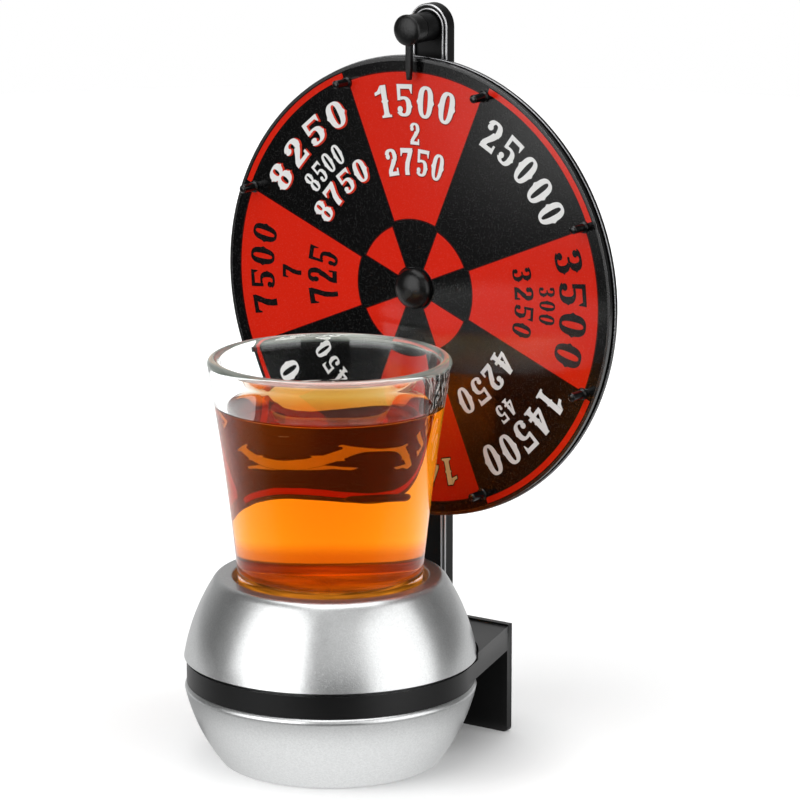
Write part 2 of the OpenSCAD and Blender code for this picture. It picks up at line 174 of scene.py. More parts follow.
def rounded(points: list[Pair], reaches: list[float]) -> Array:
    """A polyline whose inner corners are rounded by quadratic curves.

    Args:
        points: Its ends and corners, radius and height.
        reaches: How far from each inner corner its curve starts.

    Returns:
        The polyline's points in rows.
    """
    p = np.array(points, float)
    made = [p[:1]]
    for before, corner, after, reach in zip(p[:-2], p[1:-1], p[2:], reaches):
        a, b = corner + unit_rows(np.stack([before, after]) - corner) * reach
        made.append(curve(a, corner, b, CORNER_POINTS))
    return np.vstack(made + [p[-1:]])


def add(name: str, data: bpy.types.ID) -> bpy.types.Object:
    """A new object in the scene."""
    made = bpy.data.objects.new(name, data)
    bpy.context.scene.collection.objects.link(made)
    return made


def make_piece(name: str, form: Form, finish: "Finish", body: str,
               stands_for: tuple[str, ...] = (), sharp: float = 35.0) -> None:
    """Makes a mesh object that rides on a body.

    Args:
        name: The piece's name.
        form: Its points and faces.
        finish: Its finish.
        body: The CAD body it moves with.
        stands_for: CAD nodes that it takes the place of.
        sharp: Edges that turn by more degrees than this stay sharp.
    """
    mesh = bpy.data.meshes.new(name)
    mesh.from_pydata(form.points.tolist(), [], form.faces)
    work = bmesh.new()
    work.from_mesh(mesh)
    bmesh.ops.remove_doubles(work, verts=work.verts, dist=SAME_POINT)
    bmesh.ops.recalc_face_normals(work, faces=work.faces)
    work.to_mesh(mesh)
    work.free()
    mesh.shade_smooth()
    mesh.set_sharp_from_angle(angle=math.radians(sharp))
    made = add(name, mesh)
    mesh.materials.append(finish.material())
    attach(made, body)
    if stands_for:
        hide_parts(*stands_for)
    log.info("%s: %d faces, on body %s", name, len(mesh.polygons), body)


def dress(node: str, finish: "Finish", soft_edge: float = 0.0,
          edge: "Finish | None" = None) -> None:
    """Gives a CAD node its finish, and softens its edges for the render.

    Args:
        node: The node's name.
        finish: Its finish.
        soft_edge: Width of the softened edges in millimetres, 0 to leave them.
        edge: Their finish, where it differs: a bright metal that paints highlight lines on them.
    """
    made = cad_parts[node]
    made.data.materials.clear()
    made.data.materials.append(finish.material())
    if soft_edge:
        weld = made.modifiers.new("weld", "WELD")
        weld.merge_threshold = 10 * SAME_POINT
        bevel = made.modifiers.new("soft_edges", "BEVEL")
        bevel.width = soft_edge * MM
        bevel.segments = 2
        bevel.limit_method = "ANGLE"
        bevel.angle_limit = SOFT_CORNER
        if edge:
            made.data.materials.append(edge.material())
            bevel.material = 1
        shade = made.modifiers.new("shading", "WEIGHTED_NORMAL")
        shade.keep_sharp = False
    log.info("%s: dressed in %s", node, finish.name)


# Finishes


def grey(tone: float) -> Triple:
    """A grey, or white at 1."""
    return (tone, tone, tone)


def dimmed(tone: Triple, share: float) -> Triple:
    """A colour times a share."""
    return tuple(c * share for c in tone)


class Tree:
    """The nodes of a material or a world, made in short steps."""

    def __init__(self, owner: bpy.types.ID, output: str, place: str) -> None:
        """Clears the owner's nodes and starts with its output.

        Args:
            owner: The material or world.
            output: The kind of its output node.
            place: The coordinates that its patterns use.
        """
        self.owner = owner
        owner.use_nodes = True
        self.nodes, self.links = owner.node_tree.nodes, owner.node_tree.links
        self.nodes.clear()
        self.output = self.nodes.new(f"ShaderNodeOutput{output}")
        self.place = self.nodes.new("ShaderNodeTexCoord").outputs[place]

    @classmethod
    def of_material(cls, name: str) -> "Tree":
        """A new material's nodes, with one shader on Object coordinates."""
        tree = cls(bpy.data.materials.new(name), "Material", "Object")
        tree.shader = tree.nodes.new("ShaderNodeBsdfPrincipled")
        tree.finish("Surface", tree.shader.outputs[0])
        return tree

    def finish(self, part: str, shader: Socket) -> None:
        """Gives the output its Surface or Volume."""
        self.links.new(shader, self.output.inputs[part])

    def feed(self, socket: Socket, value: Any) -> None:
        """Links a socket to a socket, or sets its value."""
        if isinstance(value, Socket):
            self.links.new(value, socket)
        else:
            socket.default_value = value

    def shade(self, **values: Any) -> None:
        """Sets the shader's sockets, named with _ for a space."""
        for name, value in values.items():
            self.feed(self.shader.inputs[name.replace("_", " ")], value)

    def join(self, kind: str, *values: Any, operation: str | None = None, output: Any = 0) -> Socket:
        """A node of a kind, its sockets fed in order."""
        node = self.nodes.new(f"ShaderNode{kind}")
        if operation:
            node.operation = operation
        for socket, value in zip(node.inputs, values):
            self.feed(socket, value)
        return node.outputs[output]

    def math(self, operation: str, *values: Any) -> Socket:
        """A Math node."""
        return self.join("Math", *values, operation=operation)

    def vector(self, operation: str, *values: Any) -> Socket:
        """The number from a Vector Math node."""
        return self.join("VectorMath", *values, operation=operation, output="Value")

    def coloured(self, kind: str, strength: Any, tone: Triple = grey(1.0)) -> Socket:
        """A light or volume node with a strength and a colour."""
        return self.join(kind, (*tone, 1.0), strength)

    def times(self, *values: Any) -> Socket:
        """The product."""
        return reduce(lambda a, b: self.math("MULTIPLY", a, b), values)

    def plus(self, a: Any, b: Any) -> Socket:
        """The sum."""
        return self.math("ADD", a, b)

    def flip(self, value: Socket) -> Socket:
        """1 less the value."""
        return self.math("SUBTRACT", 1.0, value)

    def ray(self, kind: str) -> Socket:
        """Whether a ray is of a kind."""
        return self.join("LightPath", output=f"Is {kind} Ray")

    def ramp(self, value: Socket, start: float, stop: float, low: float = 0.0, high: float = 1.0,
             smooth: bool = True) -> Socket:
        """Maps start to stop onto low to high, smoothly or evenly."""
        made = self.join("MapRange", value, start, stop, low, high)
        made.node.interpolation_type = "SMOOTHSTEP" if smooth else "LINEAR"
        return made

    def step(self, value: Socket, edge: float, soft: float = 0.04 * MM) -> Socket:
        """A smooth step from 0 to 1 as value passes edge, soft wide on each side."""
        return self.ramp(value, edge - soft, edge + soft)

    def spread(self, value: Socket, low: float, high: float) -> Socket:
        """Maps 0 to 1 onto low to high."""
        return self.ramp(value, 0.0, 1.0, low, high, False)

    def axis(self, name: str, place: Socket | None = None) -> Socket:
        """The X, Y or Z of a place."""
        return self.join("SeparateXYZ", place or self.place, output=name)

    def moved(self, centre: Triple = (0, 0, 0), scale: Triple = (1, 1, 1)) -> Socket:
        """Coordinates counted from a centre, scaled."""
        shift = [-c * s for c, s in zip(centre, scale)]
        return self.join("Mapping", self.place, shift, (0, 0, 0), scale)

    def noise(self, size: float, detail: float = 2.0, place: Socket | None = None) -> Socket:
        """Cloudy noise whose patches are about size millimetres wide."""
        made = self.join("TexNoise", place or self.place, output="Fac")
        made.node.inputs["Scale"].default_value = 1 / (size * MM)
        made.node.inputs["Detail"].default_value = detail
        return made

    def flakes(self, size: float) -> Socket:
        """Random grey cells about size millimetres wide."""
        cells = self.join("TexVoronoi", self.place, output="Color")
        cells.node.inputs["Scale"].default_value = 1 / (size * MM)
        return self.join("RGBToBW", cells)

    def mix(self, share: Any, a: Any, b: Any, blend: str = "MIX") -> Socket:
        """Colour a turned into colour b by share."""
        node = self.nodes.new("ShaderNodeMix")
        node.data_type, node.blend_type = "RGBA", blend
        for number, value in ((0, share), (6, a), (7, b)):
            self.feed(node.inputs[number], (*value, 1.0) if isinstance(value, tuple) else value)
        return node.outputs[2]

    def bump(self, height: Socket, depth: float, strength: float = 1.0) -> Socket:
        """Surface relief, depth in millimetres for a height of 1."""
        made = self.join("Bump", strength, depth * MM)
        self.links.new(height, made.node.inputs["Height"])
        return made


@dataclass(frozen=True)
class Finish:
    """A finish; each kind below builds its own nodes."""

    name: str

    @cache
    def material(self) -> bpy.types.Material:
        """The finish's material, made once."""
        tree = Tree.of_material(self.name)
        self.build(tree)
        return tree.owner

    def build(self, tree: Tree) -> None:
        """Fills the tree."""


@dataclass(frozen=True)
class SilverPaint(Finish):
    """Satin silver paint with metal flake of a size in millimetres."""

    tone: Triple = (0.7, 0.71, 0.71)
    roughness: float = 0.29
    flake_size: float = 0.28
    flake_tone: float = 0.86
    edge_tint: float = 0.72

    def build(self, tree: Tree) -> None:
        """Flakes change the tone a little, and cloudy noise the roughness."""
        flake = tree.flakes(self.flake_size)
        cloud = tree.noise(9.0, 3.0)
        tree.shade(
            Base_Color=tree.mix(flake, dimmed(self.tone, self.flake_tone), self.tone),
            Metallic=0.92,
            Specular_Tint=(self.edge_tint, self.edge_tint, self.edge_tint, 1.0),
            Roughness=tree.spread(cloud, self.roughness - 0.03, self.roughness + 0.04),
            Normal=tree.bump(flake, 0.024, 0.6),
        )


@dataclass(frozen=True)
class MouldedPlastic(Finish):
    """Moulded plastic with a fine grain; grain and depth in millimetres."""

    tone: Triple
    roughness: float
    grain: float = 0.25
    depth: float = 0.01
    shine: float = 0.5

    def build(self, tree: Tree) -> None:
        """A fine grain in relief, and cloudy changes of tone and roughness."""
        fine = tree.noise(self.grain, 2.0)
        cloud = tree.noise(14.0, 3.0)
        tree.shade(
            Base_Color=tree.mix(cloud, self.tone, dimmed(self.tone, 1.5)),
            Roughness=tree.spread(cloud, self.roughness - 0.06, self.roughness + 0.06),
            Specular_IOR_Level=self.shine,
            Normal=tree.bump(fine, self.depth),
        )


@dataclass(frozen=True)
class Metal(Finish):
    """Plated or turned metal with fine turning marks; bright grades of it also paint highlight lines
    on black plastic.
    """

    tone: Triple
    roughness: float

    def build(self, tree: Tree) -> None:
        """Fine marks change the roughness and the relief."""
        marks = tree.noise(0.3, 4.0)
        tree.shade(
            Base_Color=tree.mix(marks, dimmed(self.tone, 0.8), self.tone),
            Metallic=1.0,
            Roughness=tree.spread(marks, self.roughness - 0.08, self.roughness + 0.1),
            Normal=tree.bump(marks, 0.01),
        )


@dataclass(frozen=True)
class Ink(Finish):
    """Printed colour under a clear gloss laminate."""

    tone: Triple

    def build(self, tree: Tree) -> None:
        """Mottled ink under the label's own laminate."""
        laminate(tree, mottled(tree, self.tone))


def mottled(tree: Tree, tone: Triple) -> Socket:
    """A printed colour with faint mottling."""
    return tree.mix(tree.noise(0.35, 3.0), dimmed(tone, 0.93), tone)


def laminate(tree: Tree, colour: Socket) -> None:
    """Puts a printed colour under a clear gloss film with fine bright specks.

    Args:
        tree: The material's nodes.
        colour: The printed colour.
    """
    grain = tree.noise(0.22, 2.0)
    speck = tree.times(tree.step(tree.flakes(0.2), 0.76, 0.04), 0.45)
    tree.shade(
        Base_Color=tree.mix(speck, colour, tree.mix(0.5, colour, grey(0.06), "ADD")),
        Roughness=0.11,
        Specular_IOR_Level=0.4,
        Normal=tree.bump(grain, 0.006),
    )


@dataclass(frozen=True)
class WheelPrint(Finish):
    """The label's print: eight sectors in red and black round a small chequered ring."""

    axle: Triple
    red: Triple = (0.66, 0.016, 0.004)
    deep_red: Triple = (0.035, 0.002, 0.001)
    black: Triple = grey(0.0015)
    outer: Triple = (14.5, 44.9, 0.51)
    inner: Triple = (4.8, 13.44, 0.57)
    line: Triple = (45.75, 47.0, 0.5)
    outer_edge: Triple = (14.2, 45.2, 0.28)
    inner_edge: Triple = (4.6, 13.75, 0.3)

    def build(self, tree: Tree) -> None:
        """Radius and angle round the axle choose the colour.

        The sectors' boundaries lie half a sector from the top. The distance to the nearest one,
        radius * sin(angle to it), insets the red fields by an even margin. A field has an inner
        and an outer radius and a margin in millimetres, and the edge fields put a thin line of
        deep red round the red ones.
        """
        place = tree.moved(self.axle)
        x, z = tree.axis("X", place), tree.axis("Z", place)
        radius = tree.math("SQRT", tree.plus(tree.times(x, x), tree.times(z, z)))
        sector = math.pi / 4
        turn = tree.plus(tree.math("DIVIDE", tree.math("ARCTAN2", x, z), sector), 8.5)
        odd = tree.math("MODULO", tree.math("FLOOR", turn), 2.0)
        even = tree.flip(odd)
        middle = tree.math("ABSOLUTE", tree.math("SUBTRACT", tree.math("FRACT", turn), 0.5))
        slant = tree.times(tree.math("SUBTRACT", 0.5, middle), sector)
        edge = tree.times(radius, tree.math("SINE", slant))

        def field(inner: float, outer: float, margin: float, where: Socket) -> Socket:
            """The share of red between two radii, a margin inside its sectors."""
            ring = tree.times(tree.step(radius, inner * MM), tree.flip(tree.step(radius, outer * MM)))
            return tree.times(ring, where, tree.step(edge, margin * MM))

        wheel = tree.math("MAXIMUM", field(*self.outer, even), field(*self.inner, odd))
        share = tree.math("MAXIMUM", wheel, field(*self.line, odd))
        deep = tree.math("MAXIMUM", field(*self.outer_edge, even), field(*self.inner_edge, odd))
        base = tree.mix(deep, self.black, self.deep_red)
        laminate(tree, tree.mix(share, base, mottled(tree, self.red)))


@dataclass(frozen=True)
class ClearGlass(Finish):
    """Clear pressed glass whose thick foot glows amber with painted light, standing in for light
    through the drink.

    Its edges are the foot's, the lower tint's, the rim's and the crown's: each is a height above the
    table and how far it fades, in millimetres.
    """

    tone: Triple = (0.97, 0.99, 0.985)
    pale: Triple = (0.985, 0.995, 0.99)
    # The lower glass is tinted this darker pink.
    lower_tint: Triple = (0.68, 0.46, 0.5)
    # The amber, the crown's tone and the strengths below paint light into the glass, which is no
    # lamp.
    amber: Triple = (1.0, 0.36, 0.025)
    painted_crown_tone: Triple = (0.9, 1.0, 0.9)
    painted_glow: float = 1.32
    painted_crown_glow: float = 0.4
    edges: tuple[Pair, ...] = ((39.35, 0.6), (43.25, 1.8), (81.85, 0.5), (82.95, 0.4))
    streak: Triple = (0.12, 0.12, 1.4)

    def build(self, tree: Tree) -> None:
        """Faintly wavy glass, whose rim mirrors fully and whose sides mirror little.

        The lower glass is tinted a darker pink. The foot glows amber and the rim's crown faintly
        with painted light, and noise that is stretched sideways breaks both into level streaks.
        """
        foot, lower_tint, rim, crown = (tree.step(tree.axis("Z"), z * MM, soft * MM)
                                   for z, soft in self.edges)
        streaks = tree.noise(1.0, 3.0, tree.moved(scale=self.streak))
        painted_foot_glow = tree.times(tree.flip(foot), tree.math("POWER", streaks, 3.0), self.painted_glow)
        wave = tree.noise(6.0, 1.0)
        tree.shade(
            Base_Color=tree.mix(lower_tint, self.lower_tint, tree.mix(wave, self.tone, self.pale)),
            Roughness=0.0,
            IOR=1.5,
            Transmission_Weight=1.0,
            Specular_Tint=tree.mix(rim, grey(0.05), grey(1.0)),
            # Painted light: the foot glows amber and the crown pale green, though the glass is no
            # lamp.
            Emission_Color=tree.mix(rim, self.amber, self.painted_crown_tone),
            Emission_Strength=tree.plus(painted_foot_glow, tree.times(crown, streaks, self.painted_crown_glow)),
            Normal=tree.bump(wave, 0.05, 0.3),
        )


@dataclass(frozen=True)
class AmberDrink(Finish):
    """A clear amber drink, darker through its depth, with faint painted light glowing in it."""

    tone: Triple = (0.962, 0.735, 0.04)
    density: float = 185.0
    painted_glow_tone: Triple = (1.0, 0.2, 0.03)
    painted_glow: float = 1.3

    def build(self, tree: Tree) -> None:
        """Clear, and coloured by what its volume absorbs and by painted light that it gives off."""
        tree.shade(
            Base_Color=tree.mix(tree.noise(12.0, 1.0), (1.0, 0.97, 0.93), grey(1.0)),
            Roughness=0.0,
            IOR=1.345,
            Transmission_Weight=1.0,
            Specular_Tint=(0.05, 0.05, 0.05, 1.0),
        )
        depth = tree.coloured("VolumeAbsorption", self.density, self.tone)
        # Painted light: the drink's volume glows, though it is no lamp.
        painted_glow = tree.coloured("Emission", self.painted_glow, self.painted_glow_tone)
        tree.finish("Volume", tree.join("AddShader", depth, painted_glow))


SILVER = SilverPaint("silver_paint")
BLACK = MouldedPlastic("satin_black_plastic", (0.003, 0.003, 0.0032), 0.38, shine=0.36)
POST = MouldedPlastic("deep_black_plastic", (0.002, 0.002, 0.0021), 0.44, shine=0.2)
# Bright metal on the softened edges of black plastic paints highlight lines there.
HIGHLIGHT_EDGE = Metal("painted_highlight_edge", (0.34, 0.34, 0.35), 0.26)
# The beads' bright metal paints highlight lines along the post's front.
HIGHLIGHT_BEAD = Metal("painted_highlight_bead", (0.62, 0.62, 0.63), 0.3)
CAP = MouldedPlastic("satin_cap_plastic", grey(0.0025), 0.27, 0.4, 0.02, 0.32)
GLOSS = MouldedPlastic("gloss_black_plastic", grey(0.002), 0.16, 0.8, 0.004)
MATT = MouldedPlastic("matt_black_plastic", grey(0.0025), 0.36, 0.5, 0.05, 0.36)
RIM = MouldedPlastic("rim_black_plastic", grey(0.003), 0.24, 0.5, 0.004, 0.9)
RUBBER = MouldedPlastic("matt_rubber", grey(0.008), 0.8, 0.4, 0.03)
STEEL = Metal("plated_steel", (0.62, 0.62, 0.63), 0.28)
BRASS = Metal("turned_brass", (0.78, 0.56, 0.25), 0.25)
WHITE_INK = Ink("white_ink", (0.83, 0.83, 0.82))
CREAM_INK = Ink("cream_ink", (0.85, 0.7, 0.36))
BLACK_INK = Ink("black_ink", (0.006, 0.004, 0.004))
RED_INK = Ink("red_ink", (0.6, 0.03, 0.012))
DEEP_RED_INK = Ink("deep_red_ink", (0.2, 0.008, 0.004))


# Numerals


def two_edges(x_one: Array, y_one: Array, x_two: Array, y_two: Array) -> Array:
    """A ribbon: the points of its two long edges, 2 by points by 2."""
    return np.stack([np.column_stack([x_one, y_one]), np.column_stack([x_two, y_two])])


class Numerals:
    """Ten heavy numerals with slabs and spurs, drawn as ribbons in shares of their height."""

    WIDTH = 0.62
    STEM = 0.185
    SPUR = 0.045
    SPUR_REACH = 0.05
    SLAB = 0.1
    SLAB_TOP = 0.066
    BRACKET = 0.09
    BRACKET_SHARE = 0.55
    POWER = 0.8
    LEVELS = (0, 0.065, 0.07, 0.09, 0.13, 0.2, 0.45, 0.475, 0.5, 0.525, 0.55, 0.7, 0.85, 1)

    def __init__(self) -> None:
        """Draws the numerals; 9 is 6 turned half round."""
        ball, bowl, band = self.ball, self.bowl, self.band
        self.strokes: dict[str, list[Array]] = {
            "0": [bowl(0.31, 0.5, 0.27, 0.5, flat=0.1)],
            "1": [self.stem(0.37),
                  band((0.05, 0.8, 0.05, 0.7), (0.16, 0.84, 0.17, 0.73), (0.27, 1, 0.27, 0.76))],
            "2": [ball(0.15, 0.72, 0.1), bowl(0.3, 0.71, 0.27, 0.29, 165, -30, flat=0.1),
                  band((0.33, 0.62, 0.55, 0.6), (0.22, 0.42, 0.46, 0.42), (0.07, 0.22, 0.29, 0.22),
                       (0.03, 0, 0.2, 0)),
                  band((0.04, 0.15, 0.04, 0), (0.5, 0.15, 0.5, 0), (0.51, 0.27, 0.58, 0),
                       (0.585, 0.28, 0.6, 0))],
            "3": [ball(0.14, 0.79, 0.09), bowl(0.27, 0.745, 0.27, 0.255, 150, -75),
                  band((0.18, 0.56, 0.18, 0.48), (0.34, 0.56, 0.34, 0.48)),
                  bowl(0.27, 0.27, 0.29, 0.27, 75, -150), ball(0.13, 0.21, 0.1)],
            "4": [band((0.34, 1, 0.48, 1), (0.02, 0.36, 0.16, 0.36), (0, 0.24, 0.14, 0.24)),
                  band((0.02, 0.36, 0.02, 0.24), (0.61, 0.36, 0.61, 0.24)), self.stem(0.41)],
            "5": [band((0.08, 1, 0.08, 0.86), (0.52, 1, 0.5, 0.86), (0.57, 1, 0.56, 0.72),
                       (0.6, 1, 0.585, 0.71)),
                  band((0.08, 0.95, 0.19, 0.95), (0.07, 0.5, 0.18, 0.5)),
                  bowl(0.28, 0.31, 0.29, 0.31, 118, -150), ball(0.14, 0.22, 0.1)],
            "6": [bowl(0.31, 0.3, 0.27, 0.3),
                  band((0.04, 0.33, 0.25, 0.33), (0.05, 0.6, 0.25, 0.58), (0.11, 0.83, 0.27, 0.76),
                       (0.22, 0.97, 0.33, 0.87), (0.36, 1, 0.38, 0.91), (0.47, 0.98, 0.46, 0.9)),
                  ball(0.48, 0.84, 0.1)],
            "7": [band((0.01, 0.7, 0.05, 0.7), (0.03, 1, 0.11, 0.82), (0.58, 1, 0.58, 0.84)),
                  band((0.38, 0.92, 0.6, 0.92), (0.34, 0.72, 0.54, 0.72), (0.22, 0.45, 0.44, 0.45),
                       (0.18, 0.2, 0.4, 0.2), (0.18, 0, 0.42, 0))],
            "8": [bowl(0.31, 0.75, 0.235, 0.25, flat=0.08, side=0.17),
                  bowl(0.31, 0.275, 0.27, 0.275, flat=0.08, side=0.19)],
        }
        self.strokes["9"] = [np.array([self.WIDTH, 1.0]) - six for six in self.strokes["6"]]

    def spur(self, y: Array, middle: float) -> Array:
        """A small point beside a stem."""
        return self.SPUR * np.clip(1 - np.abs(y - middle) / self.SPUR_REACH, 0, 1)

    def stem(self, x: float) -> Array:
        """An upright stroke with a spur half way up and a curved slab at its foot."""
        y = np.array(self.LEVELS)
        bend = np.clip(1 - (y - self.SLAB_TOP) / self.BRACKET, 0, 1) ** 2 * self.BRACKET_SHARE
        foot = self.SLAB * np.where(y <= self.SLAB_TOP, 1, bend)
        half = self.STEM / 2 + self.spur(y, 0.5) + foot
        return two_edges(x - half, y, x + half, y)

    def bowl(self, x: float, y: float, rx: float, ry: float, start: float = 0, stop: float = 360,
             side: float = STEM, flat: float = 0.09) -> Array:
        """Part of a ring between superellipses: x = rx * |cos t|^power, y = ry * |sin t|^power.

        Args:
            x: Centre across.
            y: Centre up.
            rx: Outer half width.
            ry: Outer half height.
            start: First angle in degrees.
            stop: Last angle.
            side: Thickness at the sides.
            flat: Thickness at the top and bottom.

        Returns:
            The stroke.
        """
        t = np.radians(np.linspace(start, stop, max(12, int(abs(stop - start) / 8))))
        c, s = (np.sign(v) * np.abs(v) ** self.POWER for v in (np.cos(t), np.sin(t)))
        reach = rx + self.spur(ry * s, 0.0)
        return two_edges(x + reach * c, y + ry * s, x + (rx - side) * c, y + (ry - flat) * s)

    def ball(self, x: float, y: float, radius: float, cut: float = 0.06) -> Array:
        """A round end, cut a small angle before its circle's two ends."""
        t = np.linspace(cut, np.pi - cut, 9)
        across, up = x - radius * np.cos(t), radius * np.sin(t)
        return two_edges(across, y + up, across, y - up)

    def band(self, *pairs: Ramp) -> Array:
        """A ribbon through pairs of points, one on each edge."""
        return two_edges(*np.array(pairs).T)


@dataclass(frozen=True)
class Row:
    """A row of numerals: the radius at their feet, their height, and the row's width, in mm."""

    digits: str
    foot: float
    height: float
    width: float
    gap: float = 0.15


@dataclass(frozen=True)
class Layer:
    """A layer of print: its finish, its growth past the strokes, its shift and its rank."""

    name: str
    finish: Finish
    grow: float = 0.0
    shift: float = 0.0
    rank: int = 3


IN_WHITE = Layer("numerals_white", WHITE_INK)


class Look(Enum):
    """How a sector's numerals are printed."""

    WHITE = (IN_WHITE,)
    BLACK = (Layer("numerals_black", BLACK_INK),)
    WHITE_EDGED = (IN_WHITE, Layer("edges_deep_red", DEEP_RED_INK, 0.16, 0.08, 2))
    CREAM_EDGED = (Layer("numerals_cream", CREAM_INK), Layer("edges_black", BLACK_INK, 0.24, rank=2))
    WHITE_ON_RED = (IN_WHITE, Layer("shadows_red", RED_INK, 0.14, 0.3, 2))


@dataclass(frozen=True)
class Sector:
    """A sector's print: its turn clockwise from the top in degrees, its look and its rows."""

    turn: float
    look: Look
    rows: tuple[Row, ...]


# Sub-assemblies


@dataclass
class BallBase:
    """The silver ball in two shells on a pad, sizes in millimetres."""

    foot_r: float = 22.6
    waist_r: float = 29.9
    lower_top: float = 16.9
    lower_bow: float = 0.95
    chamfer: float = 1.0
    shell_r: float = 30.0
    lip_z: float = 22.25
    top_z: float = 39.05
    shoulder_r: float = 23.3
    upper_bow: float = 0.97
    shoulder_round: float = 0.8
    recess_r: float = 20.0
    recess_z: float = 35.75
    pad_r: float = 20.85
    pad_seat: float = 1.0
    wall: float = 1.8
    spigot_r: float = 27.4
    spigot: float = 1.4
    sole_z: float = 0.3
    side_z: float = 0.55
    floor_z: float = 2.6

    def lower(self) -> Form:
        """The lower shell: pad's seat, side, lip, spigot and inside."""
        top, tube, thin = self.lower_top, self.spigot_r, self.spigot_r - self.spigot
        floor = [(0, self.pad_seat), (self.pad_r, self.pad_seat), (self.pad_r, self.sole_z),
                 (self.foot_r - 0.4, self.sole_z)]
        corner = (self.waist_r, top - self.chamfer)
        side = arc((self.foot_r, self.side_z), corner, self.lower_bow)
        lip = rounded([corner, (self.waist_r - 0.12, top - 0.55), (self.waist_r - 0.6, top),
                       (tube, top)], [0.25, 0.25])
        spigot = [(tube, top + self.spigot), (thin, top + self.spigot), (thin, top - self.spigot)]
        inside = arc((self.foot_r - self.wall, self.floor_z), (self.waist_r - self.wall, top - 3.4),
                     self.lower_bow)[::-1]
        return lathe([floor, side, lip[1:], spigot, inside, [(0, self.floor_z)]], BALL_STEPS)

    def upper(self) -> Form:
        """The upper shell: side, soft shoulder, recess and inside."""
        side = arc((self.shell_r, self.lip_z), (self.shoulder_r, self.top_z), self.upper_bow)[:-3]
        knee = np.array([self.shoulder_r, self.top_z])
        shoulder = curve(side[-1], knee, knee - [self.shoulder_round, 0], 14)[1:]
        recess = rounded([(self.recess_r + 1.2, self.top_z), (self.recess_r, self.top_z),
                          (self.recess_r, self.recess_z), (0, self.recess_z)], [0.45, 0.35])
        roof_z, tube, thin = self.recess_z - self.wall, self.spigot_r, self.spigot_r - self.spigot
        inside = arc((self.shell_r - self.wall, self.lip_z + 2.5), (self.shoulder_r + 0.1, roof_z),
                     self.upper_bow)[::-1]
        seam_z = 20.1
        under = [(thin, self.lip_z + 0.9), (thin, seam_z), (tube, seam_z), (tube, self.lip_z)]
        return lathe([side, shoulder, recess, [(0, roof_z)], inside, under], BALL_STEPS, closed=True)

    def build(self) -> None:
        """Makes and dresses it."""
        for node, form in (("lower_shell", self.lower()), ("upper_shell", self.upper())):
            make_piece(f"{node}_skin", form, SILVER, "stand", (node,))
        dress("base_pad", RUBBER, 0.2)
        dress("shell_screws", STEEL, 0.1)


@dataclass
class Stand:
    """The bracket, post and fasteners; a painted highlight bead has an inset and a lower end."""

    soft_edge: float = 0.24
    thickness: float = 2.6
    bead_r: float = 0.24
    sunk: float = 0.04
    beads: tuple[Pair, ...] = ((0.24, 23.3), (1.12, 25.3))

    def bead(self, inset: float, bottom: float) -> Form:
        """A painted highlight: a fine bright bead on the post's front, up one side, over the head and
        down again.

        Ring = path + radius * (cos a * outward + sin a * front).

        Args:
            inset: How far it lies inside the post's edge.
            bottom: Height of its ends.

        Returns:
            The bead.
        """
        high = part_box("post")[1]
        t = np.linspace(0, np.pi, 72)
        outward = np.column_stack([np.cos(t), 0 * t, np.sin(t)])
        head = np.array([0, high.y - (self.thickness - self.sunk) * MM, high.z - high.x])
        path = head + (high.x - inset * MM) * outward
        feet = path[[0, -1]] * [1, 1, 0] + [0, 0, bottom * MM]
        path = np.vstack([feet[:1], path, feet[1:]])
        outward = np.vstack([outward[:1], outward, outward[-1:]])[:, None]
        a = np.linspace(0, 2 * np.pi, 12, endpoint=False)[:, None]
        return loft(path[:, None] + self.bead_r * MM * (np.cos(a) * outward + np.sin(a) * FRONT))

    def build(self) -> None:
        """Dresses the nodes with painted highlight lines on the bracket's edges, and lines the post
        with its painted highlight beads.
        """
        dress("bracket", BLACK, 0.14, HIGHLIGHT_EDGE)
        dress("post", POST, self.soft_edge)
        for number, (inset, bottom) in enumerate(self.beads):
            bead = self.bead(inset, bottom)
            make_piece(f"post_highlight_bead_{number}", bead, HIGHLIGHT_BEAD, "stand", (), 80)
        for node in ("post_screw", "axle_bolt", "axle_nut", "axle_washer", "pointer_screw"):
            dress(node, STEEL, 0.06)


